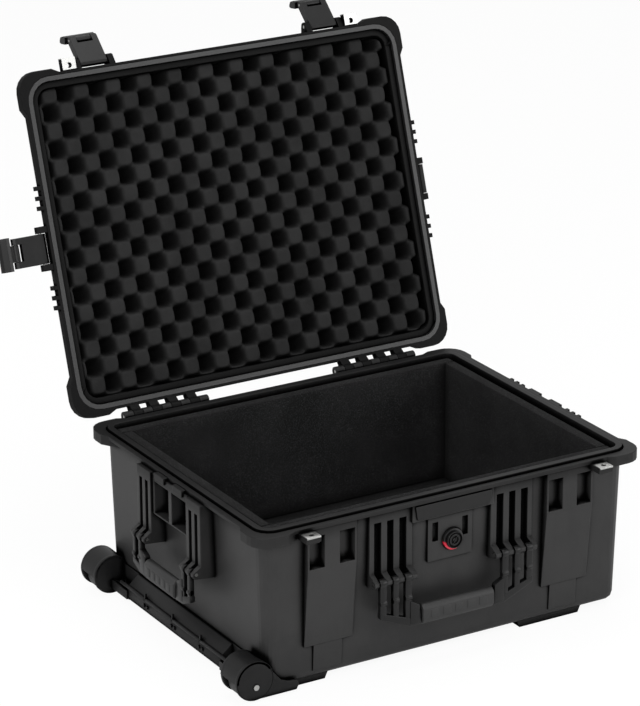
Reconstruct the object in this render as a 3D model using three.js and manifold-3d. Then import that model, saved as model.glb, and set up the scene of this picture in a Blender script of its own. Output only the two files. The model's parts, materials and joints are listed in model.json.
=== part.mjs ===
// Open wheeled equipment case: moulded base and lid, foam lining, latches, handles and wheels.
// Millimetres, +Z up. X runs along the front, the front faces -Y, the floor is z = 0.
import * as THREE from "three";
import { mergeVertices } from "three/addons/utils/BufferGeometryUtils.js";
import Module from "manifold-3d";

const wasm = await Module();
wasm.setup();

// Overall sizes. The rim sizes are those of the groove that runs round the mouth of the base.
const RIM_LENGTH = 578;
const RIM_WIDTH = 449;
const RIM_CORNER = 24;
const BASE_HEIGHT = 235;
const LID_HEIGHT = 65;
const LID_OPEN_ANGLE = 108;

// Shell sizes
const WALL = 7;
const FLOOR_THICKNESS = 6;
const DRAFT = 7;
const WALL_INSET = 3;
const HOLLOW_DEPTH = 3.5;
const BOTTOM_ROUND = 12;
const FOOT_HEIGHT = 9;
const FLANGE_OUT = 9;
const FLANGE_THICKNESS = 5;
const TONGUE_HEIGHT = 3;
const GROOVE_WIDTH = 2.6;
const GROOVE_DEPTH = 3;
const BASE_EAR_OUT = 15;
const LID_EAR_OUT = 20;
const EAR_ROUND = 28;
const EAR_HEIGHT = 14;

// Lid rim: skirt outside the base flange, gasket channel, inner lip
const SKIRT_GAP = 1.4;
const SKIRT_THICKNESS = 3.8;
const PARTING_GAP = 0.6;
const CHANNEL_DEPTH = 7;
const LIP_INNER = 5;
const LIP_RISE = 2.8;
const GASKET_WIDTH = 6.4;
const GASKET_LIFT = 0.6;

// Foam
const FOAM_GAP = 0.6;
const LINING_THICKNESS = 16;
const PAD_THICKNESS = 36;
const LID_FOAM_FACE = 9;

// General clearances
const FIT = 0.4;
const PIN_FIT = 0.3;
const PIN_RADIUS = 2.5;

// Lid hinges, on the back edge
const HINGE_OUT = 26.4;
const HINGE_DROP = 5.4;
const HINGE_BARREL = 7;
const HINGE_INSET = 49;
const KNUCKLE = 15;
const KNUCKLES = 9;

// Latches
const LATCH_INSET = 102;
const LATCH_WIDTH = 42;
const LATCH_OUT = 8;
const LATCH_LIFT = 12;
const LATCH_LINK = 38;
const CLAW_WIDTH = 47;
const CLAW_LENGTH = 24;
const BRACKET = 9;
const LATCH_OPEN_FRONT = 120;
const CLAW_BEND_FRONT = 45;
const LATCH_OPEN_LEFT = 95;
const LATCH_OPEN_RIGHT = 170;

// Padlock tabs and their folded steel plates
const TAB_OFFSET = LATCH_WIDTH / 2 + 21;
const TAB_WIDTH = 22;
const TAB_OUT = 30;
const TAB_THICKNESS = 7.6;
const PLATE_THICKNESS = 1.2;
const PADLOCK_HOLE = 4;

// Handles
const HANDLE_DROP = 102;
const HANDLE_LUG = 6;
const GRIP_HEIGHT = 29;
const FRONT_HANDLE = {
  ribs: [[62, 71], [82, 91], [101, 110], [121, 128]],
  fingers: [[71, 82], [91, 101], [110, 121]],
  slots: [[82.4, 90.6, 48], [101.4, 109.6, 42]],
  proud: 5,
  pinOut: 14,
  gripHalf: 57,
  slope: 30,
  plateTop: 30,
  drop: 71,
};
const SIDE_HANDLE = {
  ribs: [[50, 57], [65, 73], [81, 88]],
  fingers: [[57, 65], [73, 81]],
  slots: [[65.4, 72.6, 24]],
  proud: 19,
  pinOut: 25,
  gripHalf: 42,
  slope: 14,
  plateTop: 10,
  drop: 52,
};

// Wheels and their carrier
const WHEEL_RADIUS = 21;
const WHEEL_WIDTH = 30;
const WHEEL_BORE = 4.3;
const AXLE_RADIUS = 4;
const CARRIER_TOP = 45;
const CARRIER_OUT = 23;
const HOOD_RADIUS = 28;
const END_PLATE = 5.5;

// Pull handle under the base
const PULL_SPACING = 55;
const TUBE_WIDTH = 18;
const TUBE_HEIGHT = 5.6;
const TUBE_LENGTH = 415;
const GUIDE_WALL = 1.3;
const GUIDE_LENGTH = 290;

const RX = RIM_LENGTH / 2;
const RY = RIM_WIDTH / 2;
const RIM = BASE_HEIGHT;
const FACE_X = RX - WALL_INSET;
const FACE_Y = RY - WALL_INSET;
const SKIRT_IN = FLANGE_OUT + SKIRT_GAP;
const SKIRT_OUT = SKIRT_IN + SKIRT_THICKNESS;
const HINGE_Y = RY + HINGE_OUT;
const HINGE_Z = RIM - HINGE_DROP;
const LATCH_X = RX - LATCH_INSET;
const VALVE_X = 3;
const VALVE_Z = RIM - 69;
const CORNER_STEPS = 5;
const ROUND_STEPS = 20;
const degrees = (angle) => THREE.MathUtils.degToRad(angle);

// Colours and finishes
const material = (color, roughness, metalness = 0) =>
  new THREE.MeshStandardMaterial({ color, roughness, metalness });
const shellPlastic = material(0x202022, 0.5);
const latchPlastic = material(0x18181a, 0.4);
const softRubber = material(0x1c1c1e, 0.75);
const sealRubber = material(0x2a2a2c, 0.7);
const foam = material(0x141416, 0.98);
const steel = material(0xb8bcc0, 0.3, 1);
const redPlastic = material(0xb01428, 0.4);

// Turns a closed geometry into a solid.
function solid(geometry) {
  const plain = geometry.index ? geometry.toNonIndexed() : geometry.clone();
  plain.deleteAttribute("normal");
  plain.deleteAttribute("uv");
  const merged = mergeVertices(plain, 1e-4);
  return new wasm.Manifold(
    new wasm.Mesh({
      numProp: 3,
      vertProperties: merged.attributes.position.array,
      triVerts: new Uint32Array(merged.index.array),
    }),
  );
}

// Turns a solid back into a geometry.
function geometryOf(body) {
  const data = body.getMesh();
  const geometry = new THREE.BufferGeometry();
  const positions = new THREE.BufferAttribute(new Float32Array(data.vertProperties), 3);
  geometry.setAttribute("position", positions);
  geometry.setIndex(new THREE.BufferAttribute(new Uint32Array(data.triVerts), 1));
  return geometry;
}

const join = (bodies) => bodies.reduce((whole, body) => whole.add(body));
const both = (make) => join([make(1), make(-1)]);

function box(x0, x1, y0, y1, z0, z1) {
  const geometry = new THREE.BoxGeometry(Math.abs(x1 - x0), Math.abs(y1 - y0), Math.abs(z1 - z0));
  geometry.translate((x0 + x1) / 2, (y0 + y1) / 2, (z0 + z1) / 2);
  return solid(geometry);
}

function shapeOf(points) {
  return new THREE.Shape(points.map(([u, v]) => new THREE.Vector2(u, v)));
}

function extrude(points, depth) {
  return new THREE.ExtrudeGeometry(shapeOf(points), { depth, bevelEnabled: false, steps: 1 });
}

// Prism of an (x, y) outline between two heights.
function prismZ(points, z0, z1) {
  return solid(extrude(points, z1 - z0).translate(0, 0, z0));
}

// Prism of a (y, z) outline between two values of x.
function prismX(points, x0, x1) {
  const low = Math.min(x0, x1);
  const geometry = extrude(points, Math.abs(x1 - x0)).translate(0, 0, low);
  geometry.rotateX(Math.PI / 2).rotateZ(Math.PI / 2);
  return solid(geometry);
}

// Prism of an (x, z) outline between two values of y.
function prismY(points, y0, y1) {
  const high = Math.max(y0, y1);
  const geometry = extrude(points, Math.abs(y1 - y0)).translate(0, 0, -high);
  geometry.rotateX(Math.PI / 2);
  return solid(geometry);
}

function rodX(x0, x1, y, z, radius, steps = ROUND_STEPS) {
  const geometry = new THREE.CylinderGeometry(radius, radius, Math.abs(x1 - x0), steps);
  geometry.rotateZ(Math.PI / 2).translate((x0 + x1) / 2, y, z);
  return solid(geometry);
}

function rodY(x, y0, y1, z, radius, steps = ROUND_STEPS) {
  const geometry = new THREE.CylinderGeometry(radius, radius, Math.abs(y1 - y0), steps);
  geometry.translate(x, (y0 + y1) / 2, z);
  return solid(geometry);
}

function rodZ(x, y, z0, z1, radius, steps = ROUND_STEPS) {
  const geometry = new THREE.CylinderGeometry(radius, radius, Math.abs(z1 - z0), steps);
  geometry.rotateX(Math.PI / 2).translate(x, y, (z0 + z1) / 2);
  return solid(geometry);
}

// Points of a rounded rectangle, anticlockwise.
function roundedRectangle(halfX, halfY, radius) {
  const points = [];
  const corners = [[1, 1, 0], [-1, 1, 90], [-1, -1, 180], [1, -1, 270]];
  for (const [sx, sy, start] of corners) {
    for (let i = 0; i <= CORNER_STEPS; i += 1) {
      const angle = degrees(start + (90 * i) / CORNER_STEPS);
      const x = sx * (halfX - radius) + radius * Math.cos(angle);
      const y = sy * (halfY - radius) + radius * Math.sin(angle);
      points.push([x, y]);
    }
  }
  return points;
}

// Solid through a stack of rounded rectangles, lowest first.
function loft(levels) {
  const rings = levels.map(({ z, halfX, halfY, radius }) =>
    roundedRectangle(halfX, halfY, radius).map(([x, y]) => [x, y, z]),
  );
  const count = rings[0].length;
  const triangles = [];
  for (let k = 0; k + 1 < rings.length; k += 1) {
    for (let i = 0; i < count; i += 1) {
      const j = (i + 1) % count;
      triangles.push(rings[k][i], rings[k][j], rings[k + 1][j]);
      triangles.push(rings[k][i], rings[k + 1][j], rings[k + 1][i]);
    }
  }
  const low = [0, 0, levels[0].z];
  const high = [0, 0, levels[levels.length - 1].z];
  const top = rings[rings.length - 1];
  for (let i = 0; i < count; i += 1) {
    const j = (i + 1) % count;
    triangles.push(low, rings[0][j], rings[0][i]);
    triangles.push(high, top[i], top[j]);
  }
  const geometry = new THREE.BufferGeometry();
  geometry.setAttribute("position", new THREE.Float32BufferAttribute(triangles.flat(), 3));
  return solid(geometry);
}

// Level of a loft, as an offset from the rim rectangle.
function level(z, offset) {
  const radius = Math.max(RIM_CORNER + offset, 5);
  return { z, halfX: RX + offset, halfY: RY + offset, radius };
}

const band = (offset, z0, z1) => loft([level(z0, offset), level(z1, offset)]);

// Wall offset at a height of the base, outside face.
const baseDraft = (z) => -WALL_INSET - (DRAFT * (RIM - z)) / (RIM - FOOT_HEIGHT);

// Bumper at a corner of a rim whose edge stands out by edge; the bumper stands out by out.
function cornerEar(sx, sy, edge, out, z0, z1) {
  const points = [
    [RX - 60, RY - 5],
    [RX - 46, RY + edge],
    [RX - 32, RY + out],
  ];
  for (let i = 0; i <= CORNER_STEPS; i += 1) {
    const angle = degrees(90 - (90 * i) / CORNER_STEPS);
    const x = RX + out - EAR_ROUND + EAR_ROUND * Math.cos(angle);
    const y = RY + out - EAR_ROUND + EAR_ROUND * Math.sin(angle);
    points.push([x, y]);
  }
  points.push([RX + out, RY - 30], [RX + edge, RY - 42], [RX - 5, RY - 56], [RX - 25, RY - 25]);
  return prismZ(points.map(([x, y]) => [sx * x, sy * y]), z0, z1);
}

function fourCorners(make) {
  return join([make(1, 1), make(-1, 1), make(-1, -1), make(1, -1)]);
}

// Turns a body made for the front face to the left (-1) or right (1) face.
function turnToSide(body, side) {
  const geometry = geometryOf(body);
  geometry.rotateZ(side * (Math.PI / 2));
  return solid(geometry);
}

// Lugs on a face that carry a folding handle: a top block, ribs and a bored lug on each rib.
function handleMount(handle, face) {
  const { ribs, proud, pinOut } = handle;
  const first = ribs[0][0];
  const last = ribs[ribs.length - 1][1];
  const inside = -(face - 5);
  const front = -(face + proud);
  const pinY = -(face + pinOut);
  const pinZ = RIM - HANDLE_DROP;
  const lugBack = pinZ - HANDLE_LUG - 3;
  const outline = [
    [inside, RIM - FLANGE_THICKNESS],
    [front, RIM - FLANGE_THICKNESS],
    [front, pinZ + HANDLE_LUG + 4],
    [pinY - HANDLE_LUG, pinZ + 2],
    [pinY - HANDLE_LUG, pinZ - 2],
    [pinY - 3, pinZ - HANDLE_LUG],
    [inside, lugBack],
  ];
  return both((side) => {
    const parts = ribs.map(([a, b]) => prismX(outline, side * a, side * b));
    parts.push(box(side * first, side * last, inside, front, RIM - 20, RIM - FLANGE_THICKNESS));
    const bore = rodX(side * (first - 1), side * (last + 1), pinY, pinZ, PIN_RADIUS + PIN_FIT, 12);
    return join(parts).subtract(bore);
  });
}

// Deepens the hollows of a front or side face into its wall.
function hollows(face, front, columns, z0, z1) {
  return join(columns.map(([a, b]) => box(a, b, front, -(face - HOLLOW_DEPTH), z0, z1)));
}

// Catch block of a latch: two pockets beside a middle web.
function catchBlock(centre, face, proud, half, pockets, bottom, fade) {
  const inside = -(face - 5);
  const front = -(face + proud);
  const outline = [
    [inside, RIM - FLANGE_THICKNESS],
    [front, RIM - FLANGE_THICKNESS],
    [front, RIM - bottom],
    [-(face - 2), RIM - bottom - fade],
    [inside, RIM - bottom - fade],
  ];
  let block = prismX(outline, centre - half, centre + half);
  for (const [a, b] of pockets) {
    const x0 = centre + a;
    const x1 = centre + b;
    block = block.subtract(box(x0, x1, front - 1, -(face + 1), RIM - 62, RIM - 16));
  }
  return block;
}

// Tab that takes a padlock, standing out from a rim.
function padlockTab(side, z0) {
  const centre = side * (LATCH_X + TAB_OFFSET);
  const half = TAB_WIDTH / 2;
  const front = -(RY + TAB_OUT);
  const tab = box(centre - half, centre + half, front, -(RY + 5), z0, z0 + TAB_THICKNESS);
  return tab;
}

function padlockBore(side, z0) {
  const centre = side * (LATCH_X + TAB_OFFSET);
  return rodZ(centre, -(RY + TAB_OUT - 9), z0 - 5, z0 + TAB_THICKNESS + 5, PADLOCK_HOLE, 16);
}

// Folded steel plate round a padlock tab.
function padlockPlate(side, z0, back) {
  const centre = side * (LATCH_X + TAB_OFFSET);
  const half = TAB_WIDTH / 2 - 0.6;
  const front = -(RY + TAB_OUT);
  const low = z0 - PIN_FIT;
  const high = z0 + TAB_THICKNESS + PIN_FIT;
  const t = PLATE_THICKNESS;
  const gap = PIN_FIT;
  const outer = box(centre - half, centre + half, front - gap - t, back, low - t, high + t);
  const inner = box(centre - half - 1, centre + half + 1, front - gap, back + 1, low, high);
  return outer.subtract(inner).subtract(padlockBore(side, z0));
}

const BASE_TAB_Z = RIM - FLANGE_THICKNESS - TAB_THICKNESS;
const LID_TAB_Z = RIM + PARTING_GAP + 0.4;

// Interleaved hinge knuckles. The base has the even ones and the lid the odd ones.
function hingeKnuckles(outline, odd) {
  const parts = [];
  for (const side of [1, -1]) {
    for (let i = 0; i < KNUCKLES; i += 1) {
      if (i % 2 !== odd) continue;
      const end = RX - HINGE_INSET - i * KNUCKLE;
      const x0 = side * (end - FIT);
      const x1 = side * (end - KNUCKLE + FIT);
      parts.push(prismX(outline, x0, x1));
      parts.push(rodX(x0, x1, HINGE_Y, HINGE_Z, HINGE_BARREL, 16));
    }
  }
  const bores = both((side) => {
    const x0 = side * (RX - HINGE_INSET + 1);
    const x1 = side * (RX - HINGE_INSET - KNUCKLE * KNUCKLES - 1);
    return rodX(x0, x1, HINGE_Y, HINGE_Z, PIN_RADIUS + PIN_FIT, 12);
  });
  return join(parts).subtract(bores);
}

// Small upright ribs on a side rim, three above and three below the latch.
function sideRibs(side, z0, z1, out) {
  const parts = [];
  for (const end of [1, -1]) {
    for (let i = 0; i < 3; i += 1) {
      const y = end * (56 + i * 14);
      const x0 = side * (RX + 2);
      const x1 = side * (RX + out);
      parts.push(box(x0, x1, y - 3, y + 3, z0, z1));
    }
  }
  return join(parts);
}

// Wheel carrier along the lower left edge, and the wells its wheels turn in
const CARRIER_IN = -(FACE_X - DRAFT * 0.8);
const AXLE_X = -(FACE_X - DRAFT + WHEEL_RADIUS - 1.5);
const AXLE_Z = WHEEL_RADIUS;
const POD_OUT = FACE_Y + 1;
const POD_IN = POD_OUT - END_PLATE - WHEEL_WIDTH - 3 - END_PLATE;

function makeBaseShell() {
  const rounds = [0, 30, 60, 90].map((step) => {
    const inset = BOTTOM_ROUND * (1 - Math.sin(degrees(step)));
    const z = FOOT_HEIGHT + BOTTOM_ROUND * (1 - Math.cos(degrees(step)));
    return level(z, baseDraft(z) - inset);
  });
  let shell = loft([...rounds, level(RIM - 1, baseDraft(RIM - 1))]);
  shell = shell.add(band(FLANGE_OUT, RIM - FLANGE_THICKNESS, RIM));
  shell = shell.add(band(-GROOVE_WIDTH / 2, RIM - FLANGE_THICKNESS, RIM + TONGUE_HEIGHT));
  const ear = (sx, sy) => cornerEar(sx, sy, FLANGE_OUT - 1, BASE_EAR_OUT, RIM - EAR_HEIGHT, RIM);
  shell = shell.add(fourCorners(ear));

  // Feet, shorter on the wheel side
  const footBack = FACE_Y - DRAFT - 2;
  const footFront = footBack - 34;
  const feet = [[-RX + 42, -RX + 110], [RX - 170, RX - 62]];
  for (const [x0, x1] of feet) {
    for (const side of [1, -1]) {
      const outline = [
        [x0, FOOT_HEIGHT + 4],
        [x0 + 6, 0],
        [x1 - 6, 0],
        [x1, FOOT_HEIGHT + 4],
      ];
      shell = shell.add(prismY(outline, side * footFront, side * (footBack - BOTTOM_ROUND / 2)));
    }
  }

  // Middle foot, between the guides of the pull handle
  shell = shell.add(box(-60, 60, -26, 26, 0, FOOT_HEIGHT + 2));

  // Front: raised strakes and catches of the latches, handle lugs, valve boss
  const low = FOOT_HEIGHT + BOTTOM_ROUND;
  for (const side of [1, -1]) {
    const centre = side * LATCH_X;
    const strake = [
      [-(FACE_Y + 3), RIM - 60],
      [-(FACE_Y + 2 - DRAFT), low],
      [-(FACE_Y - DRAFT - 5), low - 4],
      [-(FACE_Y - 6), RIM - 60],
    ];
    shell = shell.add(prismX(strake, centre - 22, centre + 22));
    const pockets = [[-34.5, -11.5], [11.5, 34.5]];
    shell = shell.add(catchBlock(centre, FACE_Y, 9, 37, pockets, 66, 110));
    shell = shell.add(padlockTab(side, BASE_TAB_Z));
  }
  shell = shell.add(handleMount(FRONT_HANDLE, FACE_Y));
  const boss = box(-35, 35, -(FACE_Y + 1.2), -(FACE_Y - 5), RIM - 96, RIM - 34);
  const slots = both((side) => {
    return hollows(FACE_Y, -(FACE_Y + 9), [[side * 19, side * 28]], RIM - 68, RIM - 41);
  });
  const valveHole = rodY(VALVE_X, -(FACE_Y + 5), -(FACE_Y - 1), VALVE_Z, 15.5);
  shell = shell.add(boss).subtract(slots).subtract(valveHole);
  const fascia = box(-64, 64, -(FACE_Y + 9), -(FACE_Y - 5), RIM - 30, RIM - FLANGE_THICKNESS);
  shell = shell.add(fascia);

  // Sides: catches, handle lugs on the left, small ribs on the right
  const sidePockets = [[-44, -4], [4, 44]];
  for (const side of [1, -1]) {
    const block = catchBlock(0, FACE_X, 16, 48, sidePockets, 64, 12);
    shell = shell.add(turnToSide(block, side));
  }
  shell = shell.add(turnToSide(handleMount(SIDE_HANDLE, FACE_X), -1));
  shell = shell.add(sideRibs(1, RIM - 18, RIM - 1, FLANGE_OUT + 6));
  for (const side of [1, -1]) {
    for (const end of [1, -1]) {
      const x0 = side * (RX + 2);
      const x1 = side * (RX + FLANGE_OUT + 7);
      shell = shell.add(box(x0, x1, end * 12, end * 38, RIM - 10, RIM - 1));
    }
  }

  // Back: hinge lugs
  const web = HINGE_Z - 0.6;
  const outline = [
    [FACE_Y - 4, web],
    [HINGE_Y, web],
    [HINGE_Y + 4, HINGE_Z - 5],
    [HINGE_Y - 2, HINGE_Z - HINGE_BARREL],
    [FACE_Y - 4, HINGE_Z - 26],
  ];
  shell = shell.add(hingeKnuckles(outline, 0));

  // Pockets and finger slots, sunk into the wall
  const pocketTop = RIM - 16;
  const pocketLow = RIM - 62;
  for (const side of [1, -1]) {
    const centre = side * LATCH_X;
    const columns = [[centre - 34.5, centre - 11.5], [centre + 11.5, centre + 34.5]];
    shell = shell.subtract(hollows(FACE_Y, -(FACE_Y + 10), columns, pocketLow, pocketTop));
    const sideHollows = hollows(FACE_X, -(FACE_X + 17), sidePockets, pocketLow, pocketTop);
    shell = shell.subtract(turnToSide(sideHollows, side));
    const fingers = FRONT_HANDLE.fingers.map(([a, b]) => [side * a, side * b]);
    const low = RIM - HANDLE_DROP + HANDLE_LUG + 4;
    shell = shell.subtract(hollows(FACE_Y, -(FACE_Y + 6), fingers, low, RIM - 20));
  }

  // Inside and groove
  const floor = FOOT_HEIGHT + FLOOR_THICKNESS;
  const inside = loft([
    level(floor, baseDraft(floor) - WALL),
    level(RIM + TONGUE_HEIGHT + 1, -WALL_INSET - WALL),
  ]);
  const groove = band(GROOVE_WIDTH / 2, RIM - GROOVE_DEPTH, RIM + 1);
  const kept = band(-GROOVE_WIDTH / 2, RIM - GROOVE_DEPTH - 1, RIM + 2);
  shell = shell.subtract(inside).subtract(groove.subtract(kept));
  for (const side of [1, -1]) {
    shell = shell.subtract(padlockBore(side, BASE_TAB_Z));
    const y0 = side * (POD_IN + END_PLATE);
    const y1 = side * (POD_OUT + 10);
    const wellX = AXLE_X + WHEEL_RADIUS + 1;
    shell = shell.subtract(box(-RX - 60, wellX, y0, y1, -1, 2 * WHEEL_RADIUS + 5));
  }
  return shell;
}

// Latch pivots, in the closed lid's frame
const LATCH_FRONT_Y = -(RY + SKIRT_OUT + LATCH_OUT);
const LATCH_SIDE_X = RX + SKIRT_OUT + LATCH_OUT;
const LATCH_Z = RIM + LATCH_LIFT;

// Bracket pair of a latch on the lid, made for the front edge.
function latchBrackets(centre, edge) {
  const pivotY = -(edge + SKIRT_OUT + LATCH_OUT);
  const root = -(edge + SKIRT_IN + 1);
  const outline = [
    [root, RIM + PARTING_GAP],
    [pivotY, RIM + LATCH_LIFT - 6.5],
    [pivotY - 5, RIM + LATCH_LIFT - 4],
    [pivotY - 6.5, RIM + LATCH_LIFT],
    [pivotY - 5, RIM + LATCH_LIFT + 4],
    [pivotY, RIM + LATCH_LIFT + 6.5],
    [root, RIM + 22],
  ];
  const inner = LATCH_WIDTH / 2 + FIT + 0.6;
  const pair = both((side) => {
    const x0 = centre + side * inner;
    const x1 = centre + side * (inner + BRACKET);
    return prismX(outline, x0, x1);
  });
  const far = inner + BRACKET + 1;
  const bore = rodX(centre - far, centre + far, pivotY, LATCH_Z, PIN_RADIUS + PIN_FIT, 12);
  return pair.subtract(bore);
}

// Wall offset at a height of the closed lid, outside face.
const lidOffset = (z) => -WALL_INSET - (6 * (z - RIM)) / LID_HEIGHT;

function makeLidShell() {
  const top = RIM + LID_HEIGHT;
  const wallBase = RIM + 8;
  const rounds = [90, 60, 30, 0].map((step) => {
    const inset = BOTTOM_ROUND * (1 - Math.sin(degrees(step)));
    const z = top - BOTTOM_ROUND * (1 - Math.cos(degrees(step)));
    return level(z, lidOffset(z) - inset);
  });
  let shell = loft([level(wallBase, lidOffset(wallBase)), ...rounds]);
  const flangeTop = RIM + CHANNEL_DEPTH + 5;
  const low = RIM + PARTING_GAP;
  shell = shell.add(band(SKIRT_OUT, low, flangeTop));
  const ear = (sx, sy) => cornerEar(sx, sy, SKIRT_OUT - 1, LID_EAR_OUT, low, low + EAR_HEIGHT);
  shell = shell.add(fourCorners(ear));

  // Raised ridges on top, with the front strakes' width
  for (const side of [1, -1]) {
    const x0 = side * (LATCH_X - 22);
    const x1 = side * (LATCH_X + 22);
    const reach = RY - 50;
    shell = shell.add(box(x0, x1, -reach, reach, top - 2, top + 3));
  }

  // Latch brackets, padlock tabs and small ribs
  for (const side of [1, -1]) {
    shell = shell.add(latchBrackets(side * LATCH_X, RY));
    shell = shell.add(turnToSide(latchBrackets(0, RX), side));
    shell = shell.add(padlockTab(side, LID_TAB_Z));
    shell = shell.add(sideRibs(side, low, RIM + 14, SKIRT_OUT + 5));
  }

  // Hinge lugs
  const outline = [
    [RY + SKIRT_OUT - 3, RIM + 2],
    [HINGE_Y - 6, HINGE_Z - 1],
    [HINGE_Y, HINGE_Z - 3],
    [HINGE_Y + 6, HINGE_Z + 3],
    [HINGE_Y + 3, RIM + 5],
    [RY + SKIRT_OUT - 3, RIM + 12],
  ];
  shell = shell.add(hingeKnuckles(outline, 1));

  // Mouth: the gasket channel, the inner lip and the hollow
  const channelBlock = band(SKIRT_IN, RIM, RIM + CHANNEL_DEPTH);
  const lipOut = SKIRT_IN - GASKET_WIDTH - 2 * PIN_FIT;
  const channel = channelBlock.subtract(band(lipOut, RIM - 1, RIM + CHANNEL_DEPTH + 1));
  const lipFace = band(lipOut, RIM - 2, RIM + TONGUE_HEIGHT + LIP_RISE);
  const hollow = loft([
    level(RIM - 1, -LIP_INNER),
    level(RIM + 12, -LIP_INNER - 1.5),
    level(top - FLOOR_THICKNESS, lidOffset(top) - WALL + 1.5),
  ]);
  shell = shell.subtract(channel).subtract(lipFace).subtract(hollow);
  for (const side of [1, -1]) {
    shell = shell.subtract(padlockBore(side, LID_TAB_Z));
  }
  return shell;
}

function makeGasket() {
  const outer = SKIRT_IN - PIN_FIT;
  const inner = outer - GASKET_WIDTH;
  const z0 = RIM + GASKET_LIFT;
  const z1 = RIM + CHANNEL_DEPTH - PIN_FIT;
  return band(outer, z0, z1).subtract(band(inner, z0 - 1, z1 + 1));
}

// Foam lining of the base
const FLOOR_TOP = FOOT_HEIGHT + FLOOR_THICKNESS;
const PAD_TOP = FLOOR_TOP + FOAM_GAP + PAD_THICKNESS;
const insideOffset = (z) => baseDraft(z) - WALL;

function makeFloorPad() {
  const low = FLOOR_TOP + FOAM_GAP;
  return loft([
    level(low, insideOffset(FLOOR_TOP) - FOAM_GAP),
    level(PAD_TOP, insideOffset(FLOOR_TOP) - FOAM_GAP),
  ]);
}

// Lining panels stand on the pad. The long ones run from end to end and the short ones fit between.
function makeLining(axis, side) {
  const z0 = PAD_TOP + FOAM_GAP;
  const z1 = RIM - 2;
  const out = insideOffset(z0) - FOAM_GAP;
  const longOuter = RY + out;
  const longInner = longOuter - LINING_THICKNESS;
  const corner = 22;
  if (axis === "x") {
    const reach = RX + out;
    const panel = [
      [-reach, longInner],
      [reach, longInner],
      [reach, longOuter - corner / 2],
      [reach - corner / 2, longOuter],
      [-reach + corner / 2, longOuter],
      [-reach, longOuter - corner / 2],
    ];
    return prismZ(panel.map(([x, y]) => [x, side * y]), z0, z1);
  }
  const outer = RX + out;
  const inner = outer - LINING_THICKNESS;
  const reach = longInner - FOAM_GAP;
  return box(side * inner, side * outer, -reach, reach, z0, z1);
}

function makeLidFoam() {
  const top = RIM + LID_HEIGHT - FLOOR_THICKNESS - FOAM_GAP;
  return loft([
    level(RIM + LID_FOAM_FACE, -LIP_INNER - 2),
    level(top, lidOffset(top) - WALL + 1.5 - FOAM_GAP),
  ]);
}

// Latch body, made hanging down from a pivot at the origin, outside towards -Y.
function makeLatchBody() {
  const half = LATCH_WIDTH / 2;
  const end = -LATCH_LINK;
  const outline = [
    [-3, 6.5],
    [3, 6.5],
    [4.5, 3],
    [4.5, end],
    [3, end - 4],
    [-1, end - 5.5],
    [-4.5, end - 4],
    [-6, end],
    [-6, 3],
  ];
  let body = prismX(outline, -half, half);
  body = body.subtract(box(-12, 12, -9, 9, end - 8, end + 8));
  body = body.subtract(rodX(-half - 1, half + 1, 0, 0, PIN_RADIUS + PIN_FIT, 12));
  body = body.subtract(rodX(-half - 1, half + 1, -1, end, PIN_RADIUS + PIN_FIT - 0.7, 12));
  const recess = box(-half + 6, half - 6, -8, -4, end + 12, -8);
  return body.subtract(recess);
}

// Claw, made about its own pin line.
function makeClaw() {
  const half = CLAW_WIDTH / 2;
  const lug = rodX(-12 + FIT, 12 - FIT, 0, 0, 4.8, 14);
  const neck = box(-12 + FIT, 12 - FIT, -4.5, 3, -10, 0);
  const outline = [
    [-6.5, -8],
    [3.5, -8],
    [4.5, -13],
    [2, 3 - CLAW_LENGTH],
    [-3, -CLAW_LENGTH],
    [-6.5, -CLAW_LENGTH],
    [-7.5, 4 - CLAW_LENGTH],
  ];
  const claw = join([lug, neck, prismX(outline, -half, half)]);
  return claw.subtract(rodX(-13, 13, 0, 0, PIN_RADIUS + PIN_FIT - 0.7, 12));
}

const latchPin = () => rodX(-LATCH_WIDTH / 2 - 9.5, LATCH_WIDTH / 2 + 9.5, 0, 0, PIN_RADIUS, 12);
const clawPin = () =>
  rodX(-LATCH_WIDTH / 2, LATCH_WIDTH / 2, -1, -LATCH_LINK, PIN_RADIUS - 0.7, 12);

// Folding handle, made hanging from its pin line at the origin, outside towards -Y.
function makeHandle(handle) {
  const { fingers, slots, gripHalf, slope, plateTop, drop } = handle;
  const inner = fingers[0][0] + 0.6;
  const outer = fingers[fingers.length - 1][1] - 0.6;
  const low = -drop;
  const frame = both((side) => {
    const parts = [];
    for (const [a, b] of fingers) {
      const x0 = side * (a + 0.6);
      const x1 = side * (b - 0.6);
      parts.push(rodX(x0, x1, 0, 0, HANDLE_LUG, 16));
      parts.push(box(x0, x1, -HANDLE_LUG, 1, -plateTop - 8, 0));
    }
    return join(parts);
  });
  const plate = [
    [inner, -plateTop],
    [outer, -plateTop],
    [outer, -plateTop - 12],
    [outer - slope, low + 1],
    [-outer + slope, low + 1],
    [-outer, -plateTop - 12],
    [-outer, -plateTop],
    [-inner, -plateTop],
    [-gripHalf + 2, low + GRIP_HEIGHT + 1],
    [gripHalf - 2, low + GRIP_HEIGHT + 1],
  ];
  let body = frame.add(prismY(plate, -8, 2));
  const above = box(-gripHalf, gripHalf, -10, 4, low + GRIP_HEIGHT - 4, low + GRIP_HEIGHT + 5);
  const below = box(-gripHalf, gripHalf, -10, 4, low - 5, low + 4);
  body = body.subtract(above).subtract(below);
  for (const [a, b, depth] of slots) {
    const slot = (side) => box(side * a, side * b, -10, 4, -depth, -plateTop + 1);
    body = body.subtract(slot(1)).subtract(slot(-1));
  }
  const reach = outer + 2;
  return body.subtract(rodX(-reach, reach, 0, 0, PIN_RADIUS + PIN_FIT, 12));
}

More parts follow.
